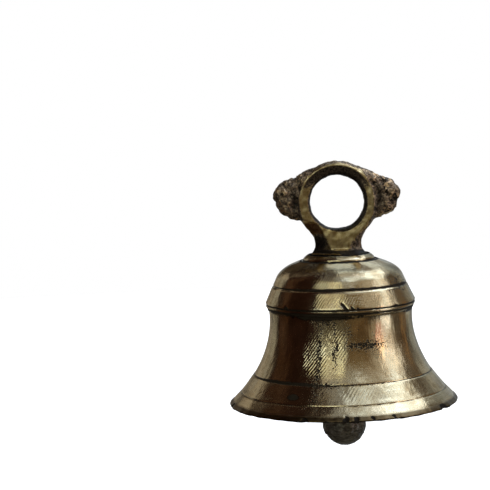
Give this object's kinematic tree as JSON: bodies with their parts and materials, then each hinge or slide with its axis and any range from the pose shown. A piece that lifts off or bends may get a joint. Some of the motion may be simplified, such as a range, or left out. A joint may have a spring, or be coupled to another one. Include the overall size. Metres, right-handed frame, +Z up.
{
  "type": "hanging bell",
  "caption": "Turned brass hanging bell with a cast ring handle and a clapper that swings from a loose link inside and strikes the flared lip.",
  "frame": {"origin": "centre of the eye in the ring handle, where the bell hangs", "axes": "+Z up the bell's axis, X across the ring handle, Y through the eye; -Y is the front"},
  "size_m": [0.0862, 0.0862, 0.108],
  "materials": {
    "turned_brass": "turned bright with lathe chatter, unlacquered, brown in the grooves",
    "cast_brass": "rough sand cast with two filed flat faces, dark in the hollows",
    "forged_iron": "plain bent iron wire, bolt, washer and nut, dull and lightly oxidised",
    "cast_iron": "dark rough casting, worn smoother round its lower half"
  },
  "bodies": {
    "bell": {"bell_shell": "turned_brass", "handle_loop": "cast_brass", "hanger_bolt": "forged_iron", "crown_washer": "forged_iron", "hanger_nut": "forged_iron"},
    "link": {"clapper_link": "forged_iron"},
    "clapper": {"clapper_rod": "forged_iron", "clapper_bob": "cast_iron"}
  },
  "joints": [
    {"name": "link_swing", "type": "hinge", "parent": "bell", "child": "link", "pos_m": [0, 0, -0.0359], "axis": [1, 0, 0], "range_deg": [-10, 10]},
    {"name": "clapper_swing", "type": "hinge", "parent": "link", "child": "clapper", "pos_m": [0, 0, -0.0415], "axis": [0, 1, 0], "range_deg": [-38, 38]}
  ]
}
